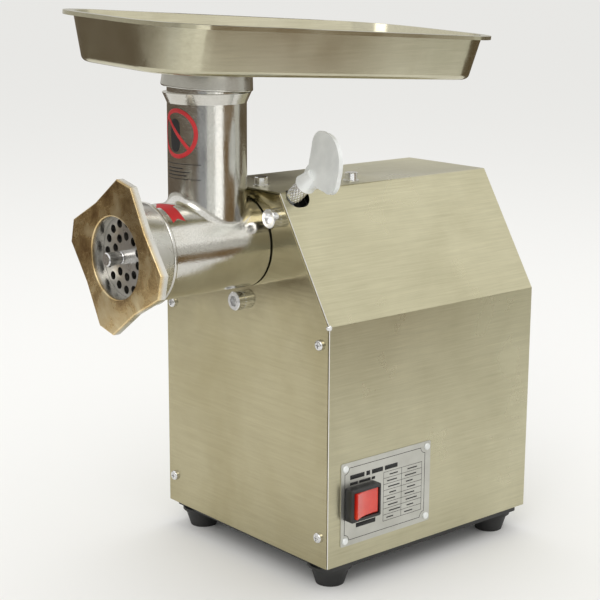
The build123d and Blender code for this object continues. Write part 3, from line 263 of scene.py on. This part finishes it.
cover_steel = brushed_sheet("cover_steel", (0.56, 0.53, 0.375), (0.49, 0.46, 0.315), ALONG_Y)
# front panel: its darker, browner tint than the cover's sheet is painted shade and painted brown reflection
front_steel_painted_shade = brushed_sheet("front_steel_painted_shade", (0.46, 0.415, 0.27), (0.38, 0.335, 0.20), ALONG_X, rough=0.13)
tray_steel = brushed_sheet("tray_steel", (0.58, 0.55, 0.42), (0.50, 0.47, 0.34), ALONG_Y, rough=0.20)
collar_steel = brushed_sheet("collar_steel", (0.60, 0.59, 0.55), (0.52, 0.51, 0.47), EVEN,
                             rough=0.16, anisotropic=0.0)
casting = polished_casting("polished_casting", (0.66, 0.65, 0.61), (0.58, 0.56, 0.51))
nut_reflection_paint = nut_painted_reflection("stained_casting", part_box("ring_nut")[0].y)
zinc = plain_metal("zinc", (0.80, 0.80, 0.80), (0.66, 0.66, 0.66), 0.18)
satin = plain_metal("satin_casting", (0.86, 0.88, 0.87), (0.74, 0.76, 0.75), 0.45, metallic=0.45)
tool = plain_metal("tool_steel", (0.50, 0.49, 0.47), (0.36, 0.35, 0.33), 0.30)
machined = plain_metal("machined_steel", (0.55, 0.55, 0.55), (0.45, 0.45, 0.45), 0.25)
gearbox = plain_metal("cast_gearbox", (0.50, 0.50, 0.50), (0.38, 0.38, 0.38), 0.5, depth=0.0003)
laminations = plain_metal("laminations", (0.25, 0.25, 0.26), (0.16, 0.16, 0.17), 0.45)
copper = plain_metal("copper_winding", (0.60, 0.25, 0.11), (0.42, 0.15, 0.06), 0.3)
bronze = plain_metal("bronze", (0.55, 0.36, 0.17), (0.42, 0.26, 0.11), 0.35)
label_face = plain_metal("label_sheet", (0.60, 0.60, 0.56), (0.54, 0.54, 0.50), 0.38)
black_paint = moulded("black_paint", (0.012, 0.012, 0.012), (0.03, 0.03, 0.03), 0.35)
motor_paint = moulded("motor_paint", (0.05, 0.06, 0.08), (0.08, 0.09, 0.11), 0.4)
rubber = moulded("black_rubber", (0.010, 0.010, 0.010), (0.035, 0.035, 0.034), 0.55, depth=0.0002)
black_plastic = moulded("black_plastic", (0.012, 0.012, 0.012), (0.028, 0.028, 0.028), 0.3)
white_plastic = moulded("white_plastic", (0.70, 0.70, 0.66), (0.78, 0.78, 0.74), 0.35)
red_plastic = moulded("red_plastic", (0.62, 0.018, 0.010), (0.80, 0.06, 0.02), 0.18, coat=1.0)
black_ink = moulded("black_ink", (0.008, 0.008, 0.008), (0.02, 0.02, 0.02), 0.6)
red_print = moulded("red_print", (0.45, 0.008, 0.012), (0.60, 0.015, 0.02), 0.45)

dress(cover_steel, "housing_cover", "rear_panel")
dress(front_steel_painted_shade, "front_panel")
dress(tray_steel, "tray_pan")
dress(collar_steel, "tray_collar")
dress(casting, "head_casting")
dress(nut_reflection_paint, "ring_nut")
dress(zinc, "front_panel_screws", "rear_panel_screws", "foot_screws", "foot_nuts", "cover_screws",
      "flange_bolts", "top_bolts", "through_bolts", "support_screws", "capacitor_clamp")
dress(satin, "run_capacitor", "label_rivets", "wing_screw")
dress(tool, "plate_key", "knife", "perforated_plate")
dress(zinc, "auger")
dress(machined, "output_front_bearing", "output_tail_bearing", "intermediate_bearings", "output_gear",
      "output_spindle", "intermediate_shaft", "intermediate_gear", "rotor_bearings", "motor_shaft")
dress(gearbox, "gearbox_case", "gearbox_cover", "motor_front_bell", "motor_rear_bell")
dress(laminations, "stator_core", "rotor_core")
dress(copper, "stator_windings")
dress(bronze, "auger_bush")
dress(label_face, "label_plate")
dress(black_paint, "base_plate", "motor_support")
dress(motor_paint, "motor_shell")
dress(rubber, "rubber_feet", "output_seal", "head_seal")
dress(black_plastic, "switch_body", "cord_gland", "gland_nut", "cooling_fan")
dress(white_plastic, "thrust_washer", "terminal_block")
dress(red_plastic, "rocker")


# ---------------------------------------------------------------- pieces added to the CAD nodes

def sheets(name, grids, material, body, thickness=0.05):
    """One piece made of small grids. Each grid is (columns, rows, f), with f(s, t) a point in millimetres."""
    mesh = bpy.data.meshes.new(name)
    points, faces = [], []
    for columns, rows, f in grids:
        first = len(points)
        for i in range(columns + 1):
            for j in range(rows + 1):
                points.append(Vector(f(i / columns, j / rows)) * MM)
        for i in range(columns):
            for j in range(rows):
                a = first + i * (rows + 1) + j
                faces.append((a, a + rows + 1, a + rows + 2, a + 1))
    mesh.from_pydata(points, [], faces)
    piece = bpy.data.objects.new(name, mesh)
    scene.collection.objects.link(piece)
    mesh.materials.append(material)
    tidy = bmesh.new()
    tidy.from_mesh(mesh)
    bmesh.ops.remove_doubles(tidy, verts=tidy.verts, dist=0.002 * MM)
    tidy.to_mesh(mesh)
    tidy.free()
    for face in mesh.polygons:
        face.use_smooth = True
    if thickness:
        solid = piece.modifiers.new("thickness", "SOLIDIFY")
        solid.thickness = thickness * MM
        solid.offset = 1.0
    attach(piece, body)
    return piece


def between(low, high, t):
    return low + (high - low) * t


# label print, in the plane of the plate's face
PRINT = 0.03
plate_low, plate_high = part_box("label_plate")
PLATE_FACE = plate_high.x / MM + 0.01
PLATE_Y = (plate_low.y / MM, plate_high.y / MM)
PLATE_Z = (plate_low.z / MM, plate_high.z / MM)


def bar(y0, z0, y1, z1):
    """A flat printed bar, from its low corner to its high corner, measured from the plate's low corner."""
    return (1, 1, lambda s, t: (PLATE_FACE, PLATE_Y[0] + between(y0, y1, s), PLATE_Z[0] + between(z0, z1, t)))


def arc(y, z, radius, start, end, width):
    """A printed quarter ring, in the same measure."""
    def f(s, t):
        angle = math.radians(between(start, end, s))
        r = radius + width * t
        return (PLATE_FACE, PLATE_Y[0] + y + r * math.cos(angle), PLATE_Z[0] + z + r * math.sin(angle))
    return (10, 1, f)


FRAME_LEFT, FRAME_RIGHT, FRAME_LOW, FRAME_HIGH = 3.6, 91.4, 4.4, 64.2
NOTCH = 5.2
LINE = 0.45
frame_lines = [
    bar(FRAME_LEFT + NOTCH, FRAME_LOW, FRAME_RIGHT - NOTCH, FRAME_LOW + LINE),
    bar(FRAME_LEFT + NOTCH, FRAME_HIGH - LINE, FRAME_RIGHT - NOTCH, FRAME_HIGH),
    bar(FRAME_LEFT, FRAME_LOW + NOTCH, FRAME_LEFT + LINE, FRAME_HIGH - NOTCH),
    bar(FRAME_RIGHT - LINE, FRAME_LOW + NOTCH, FRAME_RIGHT, FRAME_HIGH - NOTCH),
    arc(FRAME_LEFT, FRAME_LOW, NOTCH - LINE, 0, 90, LINE),
    arc(FRAME_RIGHT, FRAME_LOW, NOTCH - LINE, 90, 180, LINE),
    arc(FRAME_RIGHT, FRAME_HIGH, NOTCH - LINE, 180, 270, LINE),
    arc(FRAME_LEFT, FRAME_HIGH, NOTCH - LINE, 270, 360, LINE),
]
TABLE_LEFT, TABLE_RIGHT, TABLE_LOW, TABLE_HIGH = 45.2, 88.0, 11.2, 52.2
TABLE_ROWS = 8
TABLE_MIDDLE = 65.0
RULE = 0.35
row_pitch = (TABLE_HIGH - TABLE_LOW) / TABLE_ROWS
table = [bar(x, TABLE_LOW, x + RULE, TABLE_HIGH) for x in (TABLE_LEFT, TABLE_MIDDLE, TABLE_RIGHT - RULE)]
for row in range(TABLE_ROWS + 1):
    level = TABLE_LOW + row * row_pitch
    table.append(bar(TABLE_LEFT, level - 0.17, TABLE_RIGHT, level + 0.17))
    if row < TABLE_ROWS:
        for column, start in enumerate((TABLE_LEFT, TABLE_MIDDLE)):
            left = start + 4.0 + 1.3 * ((row * 2 + column * 3) % 3)
            wide = 7.5 + 1.7 * ((row * 3 + column) % 4)
            table.append(bar(left, level + 1.9, left + wide, level + 2.9))
words = []
for level, height, spans in (
    (54.0, 3.6, ((9.3, 24.5), (26.5, 30.5), (32.5, 44.5), (46.5, 60.5))),
    (49.4, 2.2, ((9.3, 17.5), (19.0, 31.0), (32.4, 36.0))),
    (13.2, 3.6, ((16.0, 37.0),)),
):
    words += [bar(start, level, end, level + height) for start, end in spans]
sheets("label_print", frame_lines + table + words, black_ink, "housing", PRINT)

# the cut edge of the folded cover: a real rounded edge, whose near-white colour is a painted highlight
cover_low, cover_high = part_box("housing_cover")
SIDE_X = cover_high.x / MM
COVER_FRONT = cover_low.y / MM
TOP_HALF = 46.15
FOLD_Z, TOP_Z, BOTTOM_Z = 216.1, 311.4, 22.0
EDGE_SHEET = 1.2
EDGE_PROUD = 0.12
EDGE_START = 0.2  # above the cover's lower corner
EDGE_MITRE = 0.55  # how much lower the strip's inner line turns
EDGE_STEPS = 12


def cover_edge(side):
    """A rounded strip on the cover's front edge, from the lower corner up to the top fold."""
    inner_x = SIDE_X - EDGE_SHEET
    route = [(SIDE_X, BOTTOM_Z + EDGE_START), (SIDE_X, FOLD_Z), (TOP_HALF, TOP_Z)]
    inner = [(inner_x, BOTTOM_Z + EDGE_START), (inner_x, FOLD_Z - EDGE_MITRE),
             (TOP_HALF - EDGE_MITRE, TOP_Z - EDGE_SHEET)]

    def f(s, t):
        run = s * (len(route) - 1)
        at = min(int(run), len(route) - 2)
        k = run - at
        out_x, out_z = between(route[at][0], route[at + 1][0], k), between(route[at][1], route[at + 1][1], k)
        in_x, in_z = between(inner[at][0], inner[at + 1][0], k), between(inner[at][1], inner[at + 1][1], k)
        across = between(0.03, 0.97, t)
        proud = EDGE_PROUD * math.sin(math.pi * t) ** 0.5 - 0.02
        return (side * between(out_x, in_x, across), COVER_FRONT - proud, between(out_z, in_z, across))
    return (EDGE_STEPS * (len(route) - 1), 6, f)


# near-white colour on the edge strip: painted highlight
edge_painted_highlight = plain_metal("edge_painted_highlight", (0.95, 0.94, 0.92), (0.88, 0.87, 0.84), 0.45, metallic=0.3)
sheets("cover_edge", [cover_edge(1), cover_edge(-1)], edge_painted_highlight, "housing", 0)

BEAD_RADIUS = 2.3
BEAD_CENTRE = Vector((SIDE_X - 1.6, COVER_FRONT + 0.6, FOLD_Z - 0.5))


def weld_bead(s, t):
    """A small lumpy weld where the fold meets the front edge."""
    turn, lift = 2 * math.pi * s, math.pi * (t - 0.5)
    r = BEAD_RADIUS * (1 + 0.06 * math.sin(3 * turn + 1.0) * math.cos(lift) + 0.05 * math.sin(5 * lift))
    way = Vector((math.cos(turn) * math.cos(lift), math.sin(turn) * math.cos(lift), math.sin(lift)))
    return BEAD_CENTRE + way * r


sheets("fold_bead", [(28, 16, weld_bead)], zinc, "housing", 0)

# stickers on the feed tube and on the barrel
STICKER = 0.06  # how far a sticker's face stands off the casting
FEED_AXIS_Y = -148.9
TUBE_RADIUS = 30.6 + STICKER
SIGN_ANGLE = -85.0
SIGN_Z = 357.7
SIGN_RADIUS = 18.9
SIGN_BAND = 3.3


def on_tube(u, v, lift=0.0):
    """A point on the feed tube, u millimetres round it and v up from the middle of the sign."""
    angle = math.radians(SIGN_ANGLE) + u / TUBE_RADIUS
    r = TUBE_RADIUS + lift
    return (r * math.cos(angle), FEED_AXIS_Y + r * math.sin(angle), SIGN_Z + v)


def tube_band(u0, v0, u1, v1, width, steps=16, lift=0.0):
    length = math.hypot(u1 - u0, v1 - v0)
    across = ((v0 - v1) / length * width / 2, (u1 - u0) / length * width / 2)

    def f(s, t):
        side = 1 - 2 * t
        return on_tube(between(u0, u1, s) + across[0] * side, between(v0, v1, s) + across[1] * side, lift)
    return (steps, 2, f)


def sign_ring(s, t):
    angle = 2 * math.pi * s
    r = SIGN_RADIUS - SIGN_BAND * t
    return on_tube(r * math.cos(angle), r * math.sin(angle), STICKER)


BLOCK_CENTRE = (-2.2, -1.5)
BLOCK_HALF = (5.6, 12.5)
BLOCK_SQUARENESS = 3.2


def sign_block(s, t):
    """A plain dark block with rounded ends, behind the bar."""
    angle = 2 * math.pi * s
    c, d = math.cos(angle), math.sin(angle)
    r = t / (abs(c) ** BLOCK_SQUARENESS + abs(d) ** BLOCK_SQUARENESS) ** (1 / BLOCK_SQUARENESS)
    return on_tube(BLOCK_CENTRE[0] + BLOCK_HALF[0] * r * c, BLOCK_CENTRE[1] + BLOCK_HALF[1] * r * d)


reach = (SIGN_RADIUS - SIGN_BAND / 2) * math.sqrt(0.5)
sheets("sign_ring", [(72, 3, sign_ring), tube_band(-reach, reach, reach, -reach, SIGN_BAND * 0.85, lift=0.07)],
       red_print, "head", PRINT)
sheets("sign_block", [(48, 8, sign_block)], black_ink, "head", PRINT)
sheets("sign_lines", [
    tube_band(-16.0, -22.8, 20.8, -22.8, 0.5),
    tube_band(-16.0, -34.2, 20.8, -34.2, 0.5),
    tube_band(-14.0, -26.2, 6.0, -26.2, 0.8),
    tube_band(-14.0, -28.9, 12.0, -28.9, 0.8),
    tube_band(-14.0, -31.5, 9.0, -31.5, 0.8),
], black_ink, "head", PRINT)

BARREL_RADIUS = 36.8 + STICKER
AXIS_Z = 268.3
ARROW_FROM, ARROW_TO = 46.0, 96.0  # degrees up from +X
ARROW_NOTCH = 5.5
ARROW_Y = -194.4
ARROW_HALF, HEAD_HALF = 5.6, 9.0
HEAD_START = 0.62


def barrel_arrow(s, t):
    """A plain arrow round the barrel with a notched tail."""
    side = 2 * t - 1
    angle = between(ARROW_FROM, ARROW_TO, s) + ARROW_NOTCH * (1 - abs(side))
    half = ARROW_HALF if s < HEAD_START else HEAD_HALF * (1 - s) / (1 - HEAD_START)
    y = ARROW_Y + side * max(half, 0.05)
    turn = math.radians(angle)
    return (BARREL_RADIUS * math.cos(turn), y, AXIS_Z + BARREL_RADIUS * math.sin(turn))


sheets("turn_arrow", [(50, 8, barrel_arrow)], red_print, "head", PRINT)

# knurled sleeve on the clamp screw's shank
CLAMP_ANGLE = math.radians(38.8)
CLAMP_Y = -103.5
KNURL_FROM, KNURL_TO = 63.5, 82.5
KNURL_RADIUS = 5.83
KNURL_DEPTH = 0.55
KNURL_STARTS = 14
KNURL_LEAD = 0.62  # how fast its crossing lines wind, in radians per millimetre


def knurl(s, t):
    end = min(s, 1 - s)
    along = between(KNURL_FROM, KNURL_TO, s)
    turn = 2 * math.pi * t
    first = abs(math.sin(KNURL_STARTS * turn / 2 + along * KNURL_LEAD))
    second = abs(math.sin(KNURL_STARTS * turn / 2 - along * KNURL_LEAD))
    r = KNURL_RADIUS + KNURL_DEPTH * min(first, second) * min(1, end * 30)
    if end == 0:
        r = KNURL_RADIUS - 0.15
    across, out = r * math.cos(turn), r * math.sin(turn)
    return (
        along * math.cos(CLAMP_ANGLE) - out * math.sin(CLAMP_ANGLE),
        CLAMP_Y + across,
        AXIS_Z + along * math.sin(CLAMP_ANGLE) + out * math.cos(CLAMP_ANGLE),
    )


sheets("clamp_knurl", [(90, 144, knurl)], zinc, "clamp_screw", 0)


# ---------------------------------------------------------------- studio

def glow_material(name, colour, strength):
    material = bpy.data.materials.new(name)
    material.use_nodes = True
    tree = material.node_tree
    tree.nodes.remove(tree.nodes["Principled BSDF"])
    glow = tree.nodes.new("ShaderNodeEmission")
    glow.inputs["Color"].default_value = (*colour, 1)
    glow.inputs["Strength"].default_value = strength
    tree.links.new(glow.outputs[0], tree.nodes["Material Output"].inputs["Surface"])
    return material


def studio_mesh(name, points, faces, material):
    """A mesh that belongs to the studio and not to the object."""
    mesh = bpy.data.meshes.new(name)
    mesh.from_pydata(points, [], faces)
    mesh.materials.append(material)
    thing = bpy.data.objects.new(name, mesh)
    scene.collection.objects.link(thing)
    return thing


def reflection_only(thing):
    """Only polished surfaces see it."""
    thing.visible_camera = False
    thing.visible_diffuse = False
    thing.visible_shadow = False


floor_material = bpy.data.materials.new("floor")
floor_material.use_nodes = True
floor_shader = floor_material.node_tree.nodes["Principled BSDF"]
floor_shader.inputs["Base Color"].default_value = (0.84, 0.84, 0.83, 1)
floor_shader.inputs["Roughness"].default_value = 1.0
floor_shader.inputs["Specular IOR Level"].default_value = 0.0
FLOOR = 30.0
studio_mesh("floor", [(-FLOOR, -FLOOR, 0), (FLOOR, -FLOOR, 0), (FLOOR, FLOOR, 0), (-FLOOR, FLOOR, 0)],
            [(0, 1, 2, 3)], floor_material)

# What the metal mirrors beyond the pale table: sectors of a dim room, by angle to the right of the camera.
ROOM = [
    (-180, -23, 1.00, (0.150, 0.120, 0.090)),
    (-23, 3, 1.00, (0.300, 0.310, 0.330)),
    (3, 27, 1.00, (0.82, 0.83, 0.80)),
    (27, 50, 1.00, (1.60, 1.60, 1.58)),
    (50, 88, 0.86, (0.210, 0.140, 0.070)),
    (88, 109, 1.00, (0.62, 0.62, 0.56)),
    (109, 180, 1.00, (0.130, 0.100, 0.060)),
]
ROOM_CENTRE = (0.0, -0.149)
ROOM_OUTSIDE = 9.0
ROOM_LIFT = 0.002
for number, (start, end, inside, colour) in enumerate(ROOM):
    points, faces = [], []
    steps = max(2, int((end - start) / 4))
    for step in range(steps + 1):
        turn = AZIMUTH + math.radians(between(start, end, step / steps))
        for r in (inside, ROOM_OUTSIDE):
            points.append((ROOM_CENTRE[0] + r * math.sin(turn), ROOM_CENTRE[1] - r * math.cos(turn), ROOM_LIFT))
    for step in range(steps):
        faces.append((2 * step, 2 * step + 1, 2 * step + 3, 2 * step + 2))
    reflection_only(studio_mesh("room_%d" % number, points, faces, glow_material("room_%d" % number, colour, 1.0)))


def card(name, centre, aim, width, height, colour):
    w, h = width / 2, height / 2
    facing = (Vector(aim) - Vector(centre)).to_track_quat("Z", "Y").to_matrix()
    points = [Vector(centre) + facing @ Vector(corner) for corner in ((-w, -h, 0), (w, -h, 0), (w, h, 0), (-w, h, 0))]
    reflection_only(studio_mesh(name, points, [(0, 1, 2, 3)], glow_material(name, colour, 1.0)))


card("dark_card", (-0.832, 0.565, 0.53), (0, 0, 0.311), 0.22, 0.50, (0.050, 0.038, 0.030))
card("slope_card", (0.80, 0.86, 1.05), (0.075, 0.0, 0.264), 1.1, 0.9, (1.12, 1.11, 1.07))

WALL_HEIGHT = 2.9
WALL_STEPS = 72
wall_points, wall_faces = [], []
for step in range(WALL_STEPS):
    turn = 2 * math.pi * step / WALL_STEPS
    for level in (ROOM_LIFT, WALL_HEIGHT):
        wall_points.append((ROOM_OUTSIDE * math.sin(turn), ROOM_OUTSIDE * math.cos(turn), level))
    after = (step + 1) % WALL_STEPS
    wall_faces.append((2 * step, 2 * step + 1, 2 * after + 1, 2 * after))
wall_glow = glow_material("room_wall", (0.60, 0.59, 0.55), 1.0)
reflection_only(studio_mesh("room_wall", wall_points, wall_faces, wall_glow))

world = bpy.data.worlds.new("studio")
scene.world = world
world.use_nodes = True
backdrop = world.node_tree.nodes["Background"]
backdrop.inputs["Color"].default_value = (1.0, 0.995, 0.98, 1)
backdrop.inputs["Strength"].default_value = 0.96


def softbox(name, place, aim, size, watts, colour=(1, 1, 1)):
    data = bpy.data.lights.new(name, "AREA")
    data.shape = "RECTANGLE"
    data.size, data.size_y = size
    data.energy = watts
    data.color = colour
    light = bpy.data.objects.new(name, data)
    light.location = place
    light.rotation_euler = (Vector(aim) - Vector(place)).to_track_quat("-Z", "Y").to_euler()
    scene.collection.objects.link(light)


softbox("key", (1.3, -1.6, 2.0), (0, 0, 0.2), (1.2, 1.2), 12, (1.0, 0.98, 0.95))
softbox("top", (-0.3, 0.2, 2.2), (0, 0, 0.2), (1.4, 1.0), 8)
